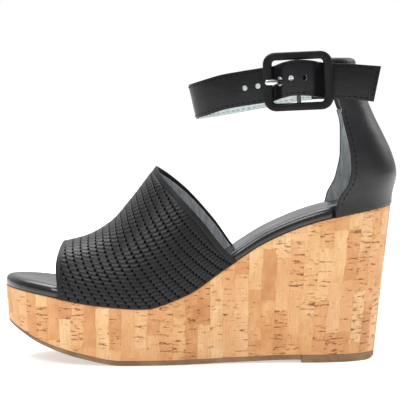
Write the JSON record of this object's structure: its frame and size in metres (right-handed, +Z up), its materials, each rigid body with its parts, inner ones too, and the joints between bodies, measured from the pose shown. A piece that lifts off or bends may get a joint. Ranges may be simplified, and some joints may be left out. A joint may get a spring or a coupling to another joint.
{
  "type": "wedge sandal",
  "caption": "Left peep-toe wedge sandal with a cork-covered wedge, woven-look black vamp, closed heel counter and a buckled ankle strap.",
  "frame": {"origin": "on the ground under the middle of the sandal's bounding box", "axes": "+X along the foot from toe to heel, +Y from the outer (buckle) side to the inner side, +Z up"},
  "size_m": [0.2372, 0.082, 0.1863],
  "materials": {
    "brown_rubber": "moulded brown rubber, matte with a fine grain",
    "light_agglomerate": "pressed light agglomerate, hidden",
    "cork": "patchwork cork sheet, clear matte sealer, dark lenticels",
    "felt": "hidden filler felt",
    "fibreboard": "pressed fibreboard, hidden",
    "spring_steel": "plain spring steel, hidden",
    "foam": "hidden cushion foam",
    "smooth_leather": "smooth black leather, semi-gloss",
    "woven_leather": "black leather embossed with a woven pattern, satin",
    "grey_lining": "dark grey brushed lining leather",
    "pale_lining": "pale grey-green lining leather, matte",
    "plated_steel": "plated steel frame and centre bar",
    "bright_metal": "polished bright metal"
  },
  "bodies": {
    "sandal": {"outsole": "brown_rubber", "heel_top_piece": "brown_rubber", "wedge_core": "light_agglomerate", "cork_wrap": "cork", "bottom_filler": "felt", "insole_board": "fibreboard", "steel_shank": "spring_steel", "shank_rivet_front": "spring_steel", "shank_rivet_rear": "spring_steel", "footbed_foam": "foam", "footbed_cover": "smooth_leather", "vamp_outer": "woven_leather", "vamp_lining": "grey_lining", "counter_outer": "smooth_leather", "counter_stiffener": "fibreboard", "counter_lining": "grey_lining"},
    "ankle_strap": {"ankle_strap_outer": "smooth_leather", "ankle_strap_lining": "pale_lining", "buckle_chape": "smooth_leather"},
    "buckle": {"buckle_frame": "plated_steel", "buckle_cover": "smooth_leather"},
    "prong": {"buckle_prong": "bright_metal"}
  },
  "joints": [
    {"name": "strap_tilt", "type": "hinge", "parent": "sandal", "child": "ankle_strap", "pos_m": [0.08999, 0.00105, 0.168], "axis": [0, 1, 0], "range_deg": [-4, 4]},
    {"name": "buckle_swing", "type": "hinge", "parent": "ankle_strap", "child": "buckle", "pos_m": [0.05779, -0.03255, 0.1684], "axis": [-0.045, 0, 0.999], "range_deg": [-2.5, 2.5]},
    {"name": "prong_lift", "type": "hinge", "parent": "buckle", "child": "prong", "pos_m": [0.05779, -0.03255, 0.1684], "axis": [-0.045, 0, 0.999], "range_deg": [0, 4]}
  ]
}
